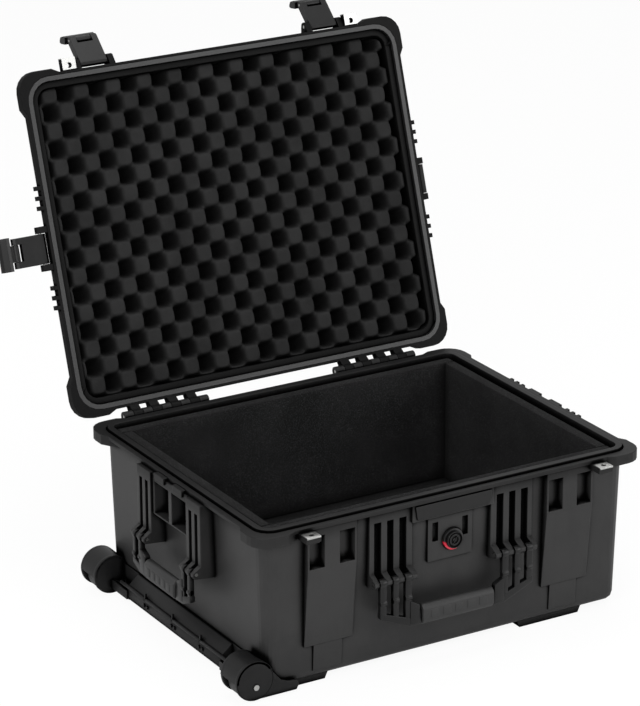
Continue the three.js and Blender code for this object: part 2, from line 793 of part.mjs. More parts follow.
function makeGrip(handle) {
  const half = handle.gripHalf - FIT;
  const low = -handle.drop;
  const high = low + GRIP_HEIGHT;
  const outline = [
    [-12, high - 4],
    [-9, high],
    [3, high],
    [6, high - 4],
    [6, low + 4],
    [3, low],
    [-9, low],
    [-12, low + 4],
  ];
  const sleeve = prismX(outline, -half, half);
  const hole = box(-half - 1, half + 1, -8 - FIT, 2 + FIT, low + 4 - FIT, high - 4 + FIT);
  return sleeve.subtract(hole);
}

function handlePin(handle, side) {
  const { ribs } = handle;
  const first = ribs[0][0] + 0.5;
  const last = ribs[ribs.length - 1][1] - 0.5;
  return rodX(side * first, side * last, 0, 0, PIN_RADIUS, 12);
}

function makeCarrier() {
  const top = CARRIER_TOP;
  const out = CARRIER_IN - CARRIER_OUT;
  const beam = [
    [CARRIER_IN, top],
    [CARRIER_IN - 3, top],
    [out, top - 15],
    [out, FOOT_HEIGHT + 3],
    [out + 4, FOOT_HEIGHT + 0.5],
    [CARRIER_IN, FOOT_HEIGHT + 0.5],
  ];
  let body = prismY(beam, -POD_IN - 1, POD_IN + 1);
  for (const y of [-78, 0, 78]) {
    body = body.subtract(box(out - 1, out + 3, y - 3, y + 3, FOOT_HEIGHT, top - 12));
  }
  const discZ = HOOD_RADIUS + 2;
  const discX = AXLE_X - 1;
  const hoodOuter = [];
  const hoodInner = [];
  for (let i = 0; i <= 12; i += 1) {
    const angle = degrees(30 + (150 * i) / 12);
    const c = Math.cos(angle);
    const s = Math.sin(angle);
    hoodOuter.push([discX + HOOD_RADIUS * c, discZ + HOOD_RADIUS * s]);
    hoodInner.push([discX + (HOOD_RADIUS - 3.5) * c, discZ + (HOOD_RADIUS - 3.5) * s]);
  }
  const hood = [...hoodOuter, ...hoodInner.reverse()];
  for (const side of [1, -1]) {
    const a = side * POD_IN;
    const b = side * (POD_IN + END_PLATE);
    const c = side * (POD_OUT - END_PLATE);
    const d = side * POD_OUT;
    body = body.add(prismY(hood, a, d));
    const disc = rodY(discX, c, d, discZ, HOOD_RADIUS, 28);
    const tail = [
      [discX, 2.5],
      [CARRIER_IN + 44, 2.5],
      [CARRIER_IN + 48, 10],
      [CARRIER_IN + 44, 17],
      [CARRIER_IN + 24, 21],
      [CARRIER_IN + 8, 38],
      [discX, 44],
    ];
    const plate = disc.add(prismY(tail, c, d));
    const innerPlate = rodY(discX, a, b, discZ, HOOD_RADIUS, 28);
    body = body.add(plate).add(innerPlate);
    const bore = [side * (POD_IN - 1), side * (POD_OUT + 1)];
    body = body.subtract(rodY(AXLE_X, ...bore, AXLE_Z, AXLE_RADIUS + FIT, 16));
  }
  const bodySpace = join([
    box(CARRIER_IN, 0, -(FACE_Y - DRAFT + 2), FACE_Y - DRAFT + 2, -5, 120),
  ]);
  return body.subtract(bodySpace);
}

function makeWheel(side) {
  const y0 = side * (POD_IN + END_PLATE + 1.5);
  const y1 = side * (POD_OUT - END_PLATE - 1.5);
  const tyre = rodY(AXLE_X, y0, y1, AXLE_Z, WHEEL_RADIUS, 36);
  const bore = rodY(AXLE_X, y0 - side, y1 + side, AXLE_Z, WHEEL_BORE, 16);
  return tyre.subtract(bore);
}

const makeAxle = (side) =>
  rodY(AXLE_X, side * (POD_IN + 0.5), side * (POD_OUT + 1.2), AXLE_Z, AXLE_RADIUS, 16);

// Pull handle: tubes in guides under the floor, with a grip outside the right end
const TUBE_Z = 1.7;
const PULL_GRIP_X = FACE_X - DRAFT + 8;

function makeGuide(side) {
  const half = TUBE_WIDTH / 2 + FIT + GUIDE_WALL;
  const z0 = TUBE_Z - FIT - 1;
  const z1 = FOOT_HEIGHT - PIN_FIT;
  const y = side * PULL_SPACING;
  const x1 = RX - 45;
  const x0 = x1 - GUIDE_LENGTH;
  const outer = box(x0, x1, y - half, y + half, z0, z1);
  const tunnelTop = TUBE_Z + TUBE_HEIGHT + FIT;
  const wide = TUBE_WIDTH / 2 + FIT;
  return outer.subtract(box(x0 - 1, x1 + 1, y - wide, y + wide, TUBE_Z - FIT, tunnelTop));
}

function makeTube(side) {
  const y = side * PULL_SPACING;
  const half = TUBE_WIDTH / 2;
  const x1 = PULL_GRIP_X + 8;
  const x0 = x1 - TUBE_LENGTH;
  return box(x0, x1, y - half, y + half, TUBE_Z, TUBE_Z + TUBE_HEIGHT);
}

function makePullGrip() {
  const reach = PULL_SPACING + TUBE_WIDTH / 2 + 5;
  const bar = [
    [-reach, 1],
    [reach, 1],
    [reach, 22],
    [reach - 10, 34],
    [-reach + 10, 34],
    [-reach, 22],
  ];
  const outline = prismX(bar, PULL_GRIP_X, PULL_GRIP_X + 16);
  const windowHalf = PULL_SPACING - TUBE_WIDTH / 2 - 4;
  const hand = box(PULL_GRIP_X - 1, PULL_GRIP_X + 17, -windowHalf, windowHalf, 0, 16);
  let grip = outline.subtract(hand);
  for (const side of [1, -1]) {
    const y = side * PULL_SPACING;
    const half = TUBE_WIDTH / 2 + FIT;
    const low = TUBE_Z - FIT;
    const high = TUBE_Z + TUBE_HEIGHT + FIT;
    const socket = box(PULL_GRIP_X - 1, PULL_GRIP_X + 8 + FIT, y - half, y + half, low, high);
    grip = grip.subtract(socket);
  }
  return grip;
}

// Assembly
const equipmentCase = new THREE.Group();
const lidPivot = new THREE.Group();
lidPivot.position.set(0, HINGE_Y, HINGE_Z);
lidPivot.rotation.x = -degrees(LID_OPEN_ANGLE);
const lid = new THREE.Group();
lid.position.set(0, -HINGE_Y, -HINGE_Z);
lidPivot.add(lid);
equipmentCase.add(lidPivot);

function place(parent, name, body, surface) {
  const mesh = new THREE.Mesh(geometryOf(body), surface);
  mesh.name = name;
  parent.add(mesh);
  return mesh;
}

place(equipmentCase, "base_shell", makeBaseShell(), shellPlastic);
place(equipmentCase, "floor_pad", makeFloorPad(), foam);
place(equipmentCase, "lining_front", makeLining("x", -1), foam);
place(equipmentCase, "lining_back", makeLining("x", 1), foam);
place(equipmentCase, "lining_left", makeLining("y", -1), foam);
place(equipmentCase, "lining_right", makeLining("y", 1), foam);

place(lid, "lid_shell", makeLidShell(), shellPlastic);
place(lid, "lid_gasket", makeGasket(), sealRubber);
place(lid, "lid_foam", makeLidFoam(), foam);

for (const [side, end] of [[-1, "left"], [1, "right"]]) {
  const x0 = side * (RX - HINGE_INSET - 1);
  const x1 = side * (RX - HINGE_INSET - KNUCKLE * KNUCKLES + 1);
  const pin = rodX(x0, x1, HINGE_Y, HINGE_Z, PIN_RADIUS, 12);
  place(equipmentCase, `hinge_pin_${end}`, pin, steel);
  const back = -(RY + SKIRT_OUT + 1);
  place(equipmentCase, `base_padlock_plate_${end}`, padlockPlate(side, BASE_TAB_Z, back), steel);
  place(lid, `lid_padlock_plate_${end}`, padlockPlate(side, LID_TAB_Z, back), steel);
}

// Latches: name, place of the pivot, turn about Z, opening angle of the body, bend of the claw
const latches = [
  ["front_left", -LATCH_X, LATCH_FRONT_Y, 0, LATCH_OPEN_FRONT, CLAW_BEND_FRONT],
  ["front_right", LATCH_X, LATCH_FRONT_Y, 0, LATCH_OPEN_FRONT, CLAW_BEND_FRONT],
  ["left", -LATCH_SIDE_X, 0, -90, LATCH_OPEN_LEFT, 0],
  ["right", LATCH_SIDE_X, 0, 90, LATCH_OPEN_RIGHT, 0],
];
for (const [name, x, y, turn, open, bend] of latches) {
  const pivot = new THREE.Group();
  pivot.position.set(x, y, LATCH_Z);
  pivot.rotation.z = degrees(turn);
  lid.add(pivot);
  const swing = new THREE.Group();
  swing.rotation.x = -degrees(open);
  pivot.add(swing);
  const clawPivot = new THREE.Group();
  clawPivot.position.set(0, -1, -LATCH_LINK);
  clawPivot.rotation.x = -degrees(bend);
  swing.add(clawPivot);
  place(swing, `latch_${name}_body`, makeLatchBody(), latchPlastic);
  place(clawPivot, `latch_${name}_claw`, makeClaw(), latchPlastic);
  place(swing, `latch_${name}_pin`, latchPin(), steel);
  place(swing, `latch_${name}_claw_pin`, clawPin(), steel);
}

// Handles, hanging from their pins
const handles = [
  ["front", FRONT_HANDLE, 0, -(FACE_Y + FRONT_HANDLE.pinOut), 0],
  ["left", SIDE_HANDLE, -(FACE_X + SIDE_HANDLE.pinOut), 0, -90],
];
for (const [name, sizes, x, y, turn] of handles) {
  const pivot = new THREE.Group();
  pivot.position.set(x, y, RIM - HANDLE_DROP);
  pivot.rotation.z = degrees(turn);
  equipmentCase.add(pivot);
  place(pivot, `${name}_handle`, makeHandle(sizes), shellPlastic);
  place(pivot, `${name}_handle_grip`, makeGrip(sizes), softRubber);
  place(pivot, `${name}_handle_pin_a`, handlePin(sizes, -1), steel);
  place(pivot, `${name}_handle_pin_b`, handlePin(sizes, 1), steel);
}

// Name plate and pressure valve on the front
const plateY = -(FACE_Y + 9 + PIN_FIT);
const plateOutline = [[-60, RIM - 8], [60, RIM - 8], [57, RIM - 27], [-57, RIM - 27]];
place(equipmentCase, "name_plate", prismY(plateOutline, plateY - 1.6, plateY), shellPlastic);
const valveBack = -(FACE_Y - 1 + PIN_FIT);
const ringSeat = -(FACE_Y + 3.5);
const valveBody = rodY(VALVE_X, valveBack, ringSeat, VALVE_Z, 11.5);
place(equipmentCase, "valve_body", valveBody, latchPlastic);
const ring = rodY(VALVE_X, -(FACE_Y + 1), -(FACE_Y + 5), VALVE_Z, 15);
const ringBore = rodY(VALVE_X, -FACE_Y, -(FACE_Y + 6), VALVE_Z, 12);
place(equipmentCase, "valve_ring", ring.subtract(ringBore), redPlastic);
const knobBack = -(FACE_Y + 3.5 + PIN_FIT);
place(equipmentCase, "valve_knob", rodY(VALVE_X, knobBack, -(FACE_Y + 10), VALVE_Z, 10.5), latchPlastic);

// Wheels
place(equipmentCase, "wheel_carrier", makeCarrier(), shellPlastic);
for (const [side, end] of [[-1, "front"], [1, "back"]]) {
  place(equipmentCase, `wheel_${end}`, makeWheel(side), softRubber);
  place(equipmentCase, `wheel_axle_${end}`, makeAxle(side), steel);
}

// Pull handle
for (const [side, end] of [[-1, "front"], [1, "back"]]) {
  place(equipmentCase, `pull_guide_${end}`, makeGuide(side), shellPlastic);
  place(equipmentCase, `pull_tube_${end}`, makeTube(side), steel);
}
place(equipmentCase, "pull_grip", makePullGrip(), latchPlastic);

export default equipmentCase;
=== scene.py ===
import bpy
import bmesh
import json
import math
from mathutils import Matrix, Vector, noise


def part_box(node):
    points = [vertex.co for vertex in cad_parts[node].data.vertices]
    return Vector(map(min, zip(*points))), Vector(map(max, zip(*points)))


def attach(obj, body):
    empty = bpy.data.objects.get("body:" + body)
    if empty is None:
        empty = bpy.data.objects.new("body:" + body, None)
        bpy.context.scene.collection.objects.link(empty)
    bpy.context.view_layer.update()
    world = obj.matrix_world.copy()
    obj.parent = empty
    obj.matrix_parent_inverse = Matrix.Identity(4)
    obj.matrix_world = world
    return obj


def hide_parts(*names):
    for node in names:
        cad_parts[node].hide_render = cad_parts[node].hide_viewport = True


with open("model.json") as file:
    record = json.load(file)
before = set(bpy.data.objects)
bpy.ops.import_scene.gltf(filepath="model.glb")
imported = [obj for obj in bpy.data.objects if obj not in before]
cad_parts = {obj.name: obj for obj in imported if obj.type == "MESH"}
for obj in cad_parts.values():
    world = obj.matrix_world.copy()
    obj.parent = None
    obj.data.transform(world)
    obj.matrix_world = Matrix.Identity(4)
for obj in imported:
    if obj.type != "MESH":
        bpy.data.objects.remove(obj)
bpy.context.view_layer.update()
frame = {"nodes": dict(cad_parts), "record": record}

# Sizes of the case, in metres
RIM = 0.235
LID_ANGLE = math.radians(108)
HINGE_Y = 0.2509
HINGE_Z = 0.2296
FOAM_PITCH_X = 0.0498
FOAM_PITCH_Y = 0.0514
FOAM_DEPTH = 0.029
HANDLE_PIN_Z = 0.133
VALVE_X, VALVE_Z = 0.003, 0.166

# Lid parts are made on the closed lid, then opened with it.
OPEN_LID = (
    Matrix.Translation((0, HINGE_Y, HINGE_Z))
    @ Matrix.Rotation(-LID_ANGLE, 4, "X")
    @ Matrix.Translation((0, -HINGE_Y, -HINGE_Z))
)


# ---------------------------------------------------------------- shader tools
class Val:
    """A socket in a node tree that can be used in sums."""

    def __init__(self, shader, socket):
        self.shader = shader
        self.socket = socket

    def maths(self, operation, *others):
        return self.shader.node("ShaderNodeMath", {"operation": operation}, [self, *others])

    def __add__(self, other):
        return self.maths("ADD", other)

    def __radd__(self, other):
        return self.maths("ADD", other)

    def __sub__(self, other):
        return self.maths("SUBTRACT", other)

    def __rsub__(self, other):
        return self.shader.node("ShaderNodeMath", {"operation": "SUBTRACT"}, [other, self])

    def __mul__(self, other):
        return self.maths("MULTIPLY", other)

    def __rmul__(self, other):
        return self.maths("MULTIPLY", other)

    def ramp(self, low, high):
        """0 below low, 1 above high, smooth between."""
        return self.shader.node(
            "ShaderNodeMapRange",
            {"interpolation_type": "SMOOTHSTEP"},
            {"Value": self, "From Min": low, "From Max": high},
        )


class Shader:
    """A material built from nodes on Object coordinates."""

    def __init__(self, name):
        self.material = bpy.data.materials.new(name)
        self.material.use_nodes = True
        self.tree = self.material.node_tree
        self.surface = self.tree.nodes["Principled BSDF"]
        coordinates = self.tree.nodes.new("ShaderNodeTexCoord")
        self.place = Val(self, coordinates.outputs["Object"])

    def node(self, kind, settings, inputs, output=0):
        made = self.tree.nodes.new(kind)
        for key, value in settings.items():
            setattr(made, key, value)
        pairs = inputs.items() if isinstance(inputs, dict) else enumerate(inputs)
        for key, value in pairs:
            if isinstance(value, Val):
                self.tree.links.new(value.socket, made.inputs[key])
            else:
                made.inputs[key].default_value = value
        return Val(self, made.outputs[output])

    def noise(self, scale, detail=2.0, roughness=0.5, place=None):
        return self.node(
            "ShaderNodeTexNoise",
            {},
            {
                "Vector": place or self.place,
                "Scale": scale,
                "Detail": detail,
                "Roughness": roughness,
            },
        )

    def cells(self, scale, place=None):
        inputs = {"Vector": place or self.place, "Scale": scale}
        return self.node("ShaderNodeTexVoronoi", {}, inputs)

    def stretch(self, factors):
        return self.node("ShaderNodeMapping", {}, {"Vector": self.place, "Scale": factors})

    def colour(self, mask, first, second):
        """first where mask is 0, second where it is 1; a plain colour has three values."""
        first = first if isinstance(first, Val) else (*first, 1.0)
        second = second if isinstance(second, Val) else (*second, 1.0)
        return self.node(
            "ShaderNodeMix", {"data_type": "RGBA"}, {0: mask, 6: first, 7: second}, output=2
        )

    def dot(self, vector, direction):
        return self.node(
            "ShaderNodeVectorMath", {"operation": "DOT_PRODUCT"}, [vector, direction], output=1
        )

    def open_air(self, distance):
        """1 on an open surface, lower in hollows and where pieces meet."""
        shade = self.node("ShaderNodeAmbientOcclusion", {"samples": 8}, {"Distance": distance})
        return self.node("ShaderNodeSeparateColor", {}, {0: shade})

    def rounded(self, radius):
        return self.node("ShaderNodeBevel", {"samples": 6}, {"Radius": radius})

    def bump(self, height, strength, distance, normal=None):
        inputs = {"Height": height, "Strength": strength, "Distance": distance}
        if normal:
            inputs["Normal"] = normal
        return self.node("ShaderNodeBump", {}, inputs)

    def paint_shade(self, openness):
        """Painted shade: mix the surface with a lightless black where openness is low."""
        dark = self.tree.nodes.new("ShaderNodeBsdfPrincipled")
        dark.inputs["Base Color"].default_value = (0.0012, 0.0012, 0.0012, 1.0)
        dark.inputs["Roughness"].default_value = 1.0
        dark.inputs["Specular IOR Level"].default_value = 0.0
        self.show_mix(openness, dark.outputs[0], self.surface.outputs[0])

    def show_mix(self, share, first, second):
        """Give the material output first where share is 0 and second where it is 1."""
        mix = self.tree.nodes.new("ShaderNodeMixShader")
        for index, socket in enumerate((share.socket, first, second)):
            self.tree.links.new(socket, mix.inputs[index])
        out = self.tree.nodes["Material Output"]
        self.tree.links.new(mix.outputs[0], out.inputs["Surface"])

    def feed(self, **sockets):
        for key, value in sockets.items():
            socket = self.surface.inputs[key.replace("_", " ")]
            if isinstance(value, Val):
                self.tree.links.new(value.socket, socket)
            else:
                socket.default_value = value
        return self.material


def moulded_plastic(name, base, pale, rough, edge=0.0022, grain=0.25, level=0.3, rim=None):
    """Black moulded plastic: fine grain, faint flow marks, rubbed highs, painted shade that turns
    hollows lightless.

    rim is (direction, start, end, share): beyond start along direction the surface is mixed further
    towards lightless black, painted shade in a band by the rim."""
    s = Shader(name)
    # Painted shade: hollows and joins found by ambient occlusion turn to lightless black.
    lit = s.open_air(0.013).ramp(0.56, 0.93)
    broad = s.noise(7.0, 3.0)
    grit = s.noise(1800.0, 2.0)
    streaks = s.noise(30.0, 4.0, 0.6)
    scuffs = s.noise(160.0, 3.0, 0.7, s.stretch((1.0, 1.0, 0.25)))
    mask = (broad * 0.5 + streaks * 0.3 + scuffs * 0.2).ramp(0.35, 0.65)
    normal = s.rounded(edge)
    s.feed(
        Base_Color=s.colour(mask, base, pale),
        Roughness=(rough - 0.04) + broad * 0.06 + grit * 0.04 + scuffs * 0.05,
        Normal=s.bump(grit, grain, 0.00012, normal),
        Specular_IOR_Level=level,
    )
    if rim:
        # Painted shade: a band along direction is mixed further towards black.
        direction, start, end, share = rim
        along = s.dot(s.place, direction)
        lit = lit * (1.0 - along.ramp(start, end) * share)
    # Painted shade: the surface is mixed with lightless black where lit is low.
    s.paint_shade(lit)
    return s.material


def foam_finish(name, base, pale, glint_share, fine=2600.0):
    """Open-cell foam: bumped pores, paler patches at random, painted highlights as glints on the
    struts, painted shade in hollows.
    """
    s = Shader(name)
    pores = s.cells(fine)
    coarse = s.noise(900.0, 3.0, 0.7)
    patches = s.noise(14.0, 3.0)
    # Painted highlight: scattered pale glints stand in for light caught on the foam struts.
    glint = s.noise(1500.0, 1.0).ramp(0.62, 0.74)
    tone = s.colour(patches.ramp(0.3, 0.7), base, pale)
    tone = s.colour(coarse.ramp(0.35, 0.75) * 0.6, tone, pale)
    tone = s.colour(glint * glint_share, tone, (0.12, 0.12, 0.122))
    # Painted shade: hollows and joins are darkened in the colour by ambient occlusion.
    tone = s.colour(s.open_air(0.03).ramp(0.2, 0.95), (0.002, 0.002, 0.002), tone)
    s.feed(
        Base_Color=tone,
        Roughness=1.0,
        Normal=s.bump(pores + coarse, 0.6, 0.0004),
        Specular_IOR_Level=0.1,
    )
    return s.material


def rubber_finish(name, base, pale, rough):
    """Soft rubber: a little dust and a fine grain."""
    s = Shader(name)
    dust = s.noise(45.0, 5.0, 0.6)
    grain = s.noise(2200.0, 2.0)
    s.feed(
        Base_Color=s.colour(dust.ramp(0.4, 0.75) * 0.6, base, pale),
        Roughness=rough + dust * 0.08,
        Normal=s.bump(grain, 0.3, 0.0001, s.rounded(0.0008)),
        IOR=1.5,
    )
    return s.material


def brushed_metal(name, base, rough, stretch):
    """Bright metal with fine lines drawn out along its length."""
    s = Shader(name)
    lines = s.noise(900.0, 3.0, 0.6, s.stretch(stretch))
    clouds = s.noise(60.0, 3.0)
    s.feed(
        Base_Color=s.colour(clouds * 0.5, base, tuple(c * 0.8 for c in base)),
        Metallic=1.0,
        Roughness=rough + lines * 0.1 + clouds * 0.05,
        Normal=s.bump(lines, 0.15, 0.0001, s.rounded(0.0004)),
    )
    return s.material


SHELL_BASE, SHELL_PALE = (0.0088, 0.0088, 0.009), (0.0165, 0.0163, 0.0163)
LID_UP = (0.0, math.sin(LID_ANGLE), math.cos(LID_ANGLE))
LID_HEIGHT_AT_0 = HINGE_Z - HINGE_Y * LID_UP[1] - HINGE_Z * LID_UP[2]
# Painted shade: the base's band just under the rim flange, from z 0.205 up, is darker.
shell_finish = moulded_plastic(
    "moulded_shell", SHELL_BASE, SHELL_PALE, 0.45, rim=((0.0, 0.0, 1.0), 0.205, 0.228, 0.38)
)
# Painted shade: the lid's band nearest its rim is darker.
lid_finish = moulded_plastic(
    "moulded_lid",
    SHELL_BASE,
    SHELL_PALE,
    0.45,
    rim=(
        tuple(-c for c in LID_UP),
        LID_HEIGHT_AT_0 - RIM - 0.032,
        LID_HEIGHT_AT_0 - RIM - 0.022,
        0.76,
    ),
)
carrier_finish = moulded_plastic(
    "carrier_plastic", (0.005, 0.005, 0.0052), (0.009, 0.009, 0.0092), 0.42, 0.001, 0.2, 0.15
)
fitting_finish = moulded_plastic(
    "satin_fitting", (0.004, 0.004, 0.0041), (0.007, 0.007, 0.0071), 0.3, 0.001, 0.15, 0.22
)
grip_finish = rubber_finish("soft_grip", (0.0045, 0.0045, 0.0046), (0.008, 0.008, 0.0081), 0.55)
seal_finish = rubber_finish("seal_rubber", (0.006, 0.006, 0.0062), (0.012, 0.012, 0.0122), 0.42)
tread_finish = rubber_finish("wheel_rubber", (0.01, 0.01, 0.0102), (0.016, 0.016, 0.0162), 0.5)
wave_foam = foam_finish("wave_foam", (0.013, 0.013, 0.0131), (0.022, 0.022, 0.0221), 0.1)
wall_foam = foam_finish("wall_foam", (0.0055, 0.0055, 0.0056), (0.011, 0.011, 0.0111), 0.7)
steel_finish = brushed_metal("brushed_steel", (0.4, 0.4, 0.39), 0.24, (1.0, 12.0, 12.0))
tube_finish = brushed_metal("satin_tube", (0.62, 0.63, 0.65), 0.3, (0.1, 12.0, 12.0))

ring_shader = Shader("red_ring")
ring_cloud = ring_shader.noise(120.0, 3.0)
from_valve = ring_shader.node(
    "ShaderNodeMapping", {}, {"Vector": ring_shader.place, "Location": (-VALVE_X, 0.0, -VALVE_Z)}
)
low_left = ring_shader.dot(from_valve, (-0.38, 0.0, -0.92))
ring_finish = ring_shader.feed(
    Base_Color=ring_shader.colour(
        low_left.ramp(0.006, 0.008),
        (0.008, 0.008, 0.0082),
        ring_shader.colour(ring_cloud, (0.62, 0.012, 0.04), (0.5, 0.01, 0.03)),
    ),
    Roughness=0.3 + ring_cloud * 0.1,
)

FINISHES = {
    "shell": shell_finish,
    "fittings": fitting_finish,
    "grip": grip_finish,
    "foam": wall_foam,
    "seal": seal_finish,
    "tread": tread_finish,
    "steel": steel_finish,
    "tube": tube_finish,
    "ring": ring_finish,
}
for entry in frame["record"]["subparts"]:
    node = frame["nodes"][entry["node"]]
    node.data.materials.clear()
    node.data.materials.append(FINISHES[entry["material_slot"]])
frame["nodes"]["lid_shell"].data.materials[0] = lid_finish


# ---------------------------------------------------------------- mesh tools
def piece(name, bm, finish, body, stands_for=(), smooth=35.0):
    """A finished mesh that rides on a body."""
    mesh = bpy.data.meshes.new(name)
    bm.to_mesh(mesh)
    bm.free()
    made = bpy.data.objects.new(name, mesh)
    bpy.context.scene.collection.objects.link(made)
    mesh.materials.append(finish)
    mesh.shade_smooth()
    if smooth:
        mesh.set_sharp_from_angle(angle=math.radians(smooth))
    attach(made, body)
    if stands_for:
        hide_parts(*stands_for)
    return made


def block(low, high):
    bm = bmesh.new()
    bmesh.ops.create_cube(bm, size=1.0)
    size = Vector(high) - Vector(low)
    bmesh.ops.scale(bm, vec=size, verts=bm.verts)
    bmesh.ops.translate(bm, vec=(Vector(high) + Vector(low)) / 2, verts=bm.verts)
    return bm


def soften(bm, offset, segments=3):
    bmesh.ops.bevel(
        bm,
        geom=bm.edges[:],
        offset=offset,
        segments=segments,
        profile=0.5,
        affect="EDGES",
        material=-1,
    )


# ---------------------------------------------------------------- foam
def wave_height(x, y):
    """0 at the bottom of a pit, 1 on top of a wave: rows of waves, every other row set over."""
    across = math.cos(math.tau * x / FOAM_PITCH_X - 1.545)
    along = math.cos(math.tau * y / FOAM_PITCH_Y + 0.425)
    height = 0.5 - 0.5 * across * along
    share = min(1.0, max(0.0, (height - 0.1) / 0.56))
    return share * share * (3 - 2 * share)


def make_lid_foam():
    half_x, half_y = 0.2815, 0.2172
    front = RIM + 0.0095
    back = RIM + 0.058
    columns, rows = 300, 240
    bm = bmesh.new()
    bmesh.ops.create_grid(bm, x_segments=columns, y_segments=rows, size=1.0)
    bmesh.ops.scale(bm, vec=(half_x, half_y, 1.0), verts=bm.verts)
    for vert in bm.verts:
        x, y = vert.co.x, vert.co.y
        edge = min(half_x - abs(x), half_y - abs(y))
        wobble = noise.noise(Vector((x * 22, y * 22, 3.0)))
        lift = wave_height(x + 0.0012 * wobble, y)
        vert.co.z = front + FOAM_DEPTH * (1 - lift) + 0.0008 * wobble
        if edge < 0.005:
            vert.co.z += 0.002 * (1 - edge / 0.005) ** 2
        corner_x = abs(x) - (half_x - 0.022)
        corner_y = abs(y) - (half_y - 0.022)
        if corner_x > 0 and corner_y > 0:
            reach = math.hypot(corner_x, corner_y)
            if reach > 0.022:
                vert.co.x = math.copysign(half_x - 0.022 + corner_x * 0.022 / reach, x)
                vert.co.y = math.copysign(half_y - 0.022 + corner_y * 0.022 / reach, y)
    border = [edge for edge in bm.edges if edge.is_boundary]
    skirt = bmesh.ops.extrude_edge_only(bm, edges=border)
    low = [item for item in skirt["geom"] if isinstance(item, bmesh.types.BMVert)]
    for vert in low:
        vert.co.z = back
        vert.co.x *= 0.974
        vert.co.y *= 0.968
    rim = [item for item in skirt["geom"] if isinstance(item, bmesh.types.BMEdge)]
    bmesh.ops.edgeloop_fill(bm, edges=[edge for edge in rim if edge.is_boundary])
    bmesh.ops.recalc_face_normals(bm, faces=bm.faces)
    bmesh.ops.transform(bm, matrix=OPEN_LID, verts=bm.verts)
    made = piece("lid_wave_foam", bm, wave_foam, "lid", ["lid_foam"], smooth=0)
    return made


make_lid_foam()


def make_foam_panel(node, face_axis):
    """A wall or floor panel of foam: cut square, corners eased, faces a little uneven."""
    low, high = (Vector(corner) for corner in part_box(node))
    bm = block(low, high)
    soften(bm, 0.0022, 2)
    centre = (low + high) / 2
    size = high - low
    for _ in range(4):
        long_edges = [edge for edge in bm.edges if edge.calc_length() > 0.03]
        if not long_edges:
            break
        bmesh.ops.subdivide_edges(bm, edges=long_edges, cuts=1, use_grid_fill=True)
    for vert in bm.verts:
        swell = noise.noise(vert.co * 9.0) * 0.0009
        shift = Vector((0, 0, 0))
        away = vert.co[face_axis] - centre[face_axis]
        shift[face_axis] = -math.copysign(abs(swell), away)
        vert.co += shift
    made = piece(node + "_foam", bm, wall_foam, "base", [node])
    return made


make_foam_panel("lining_front", 1)
make_foam_panel("lining_back", 1)
make_foam_panel("lining_left", 0)
make_foam_panel("lining_right", 0)
make_foam_panel("floor_pad", 2)

# ---------------------------------------------------------------- parts built up from plates
def plate(bm, points, axis, low, high, bevel=0.0):
    """A flat outline in the plane across axis, given thickness from low to high, edges eased."""
    made = bmesh.new()
    corners = []
    for u, v in points:
        place = (low, u, v) if axis == "X" else (u, low, v) if axis == "Y" else (u, v, low)
        corners.append(made.verts.new(place))
    face = made.faces.new(corners)
    grown = bmesh.ops.extrude_face_region(made, geom=[face])
    moved = [item for item in grown["geom"] if isinstance(item, bmesh.types.BMVert)]
    shift = Vector([high - low if axis == name else 0.0 for name in "XYZ"])
    bmesh.ops.translate(made, vec=shift, verts=moved)
    bmesh.ops.recalc_face_normals(made, faces=made.faces)
    if bevel:
        soften(made, bevel, 2)
    add_to(bm, made)


def add_to(bm, made):
    mesh = bpy.data.meshes.new("part")
    made.to_mesh(mesh)
    made.free()
    bm.from_mesh(mesh)
    bpy.data.meshes.remove(mesh)


def bar(bm, axis, low, high, centre, radius, bevel=0.0006, segments=20):
    """A round bar along axis, ends eased."""
    made = bmesh.new()
    bmesh.ops.create_cone(
        made, cap_ends=True, segments=segments, radius1=radius, radius2=radius, depth=abs(high - low)
    )
    if bevel:
        ends = [edge for edge in made.edges if abs(edge.verts[0].co.z - edge.verts[1].co.z) < 1e-6]
        bmesh.ops.bevel(
            made, geom=ends, offset=bevel, segments=2, profile=0.5, affect="EDGES", material=-1
        )
    turn = {"X": Matrix.Rotation(math.pi / 2, 4, "Y"), "Y": Matrix.Rotation(math.pi / 2, 4, "X")}
    bmesh.ops.transform(made, matrix=turn.get(axis, Matrix.Identity(4)), verts=made.verts)
    u, v = centre
    middle = (low + high) / 2
    place = (middle, u, v) if axis == "X" else (u, middle, v) if axis == "Y" else (u, v, middle)
    bmesh.ops.translate(made, vec=place, verts=made.verts)
    add_to(bm, made)


def rectangle(u0, v0, u1, v1):
    return [(u0, v0), (u0, v1), (u1, v1), (u1, v0)]


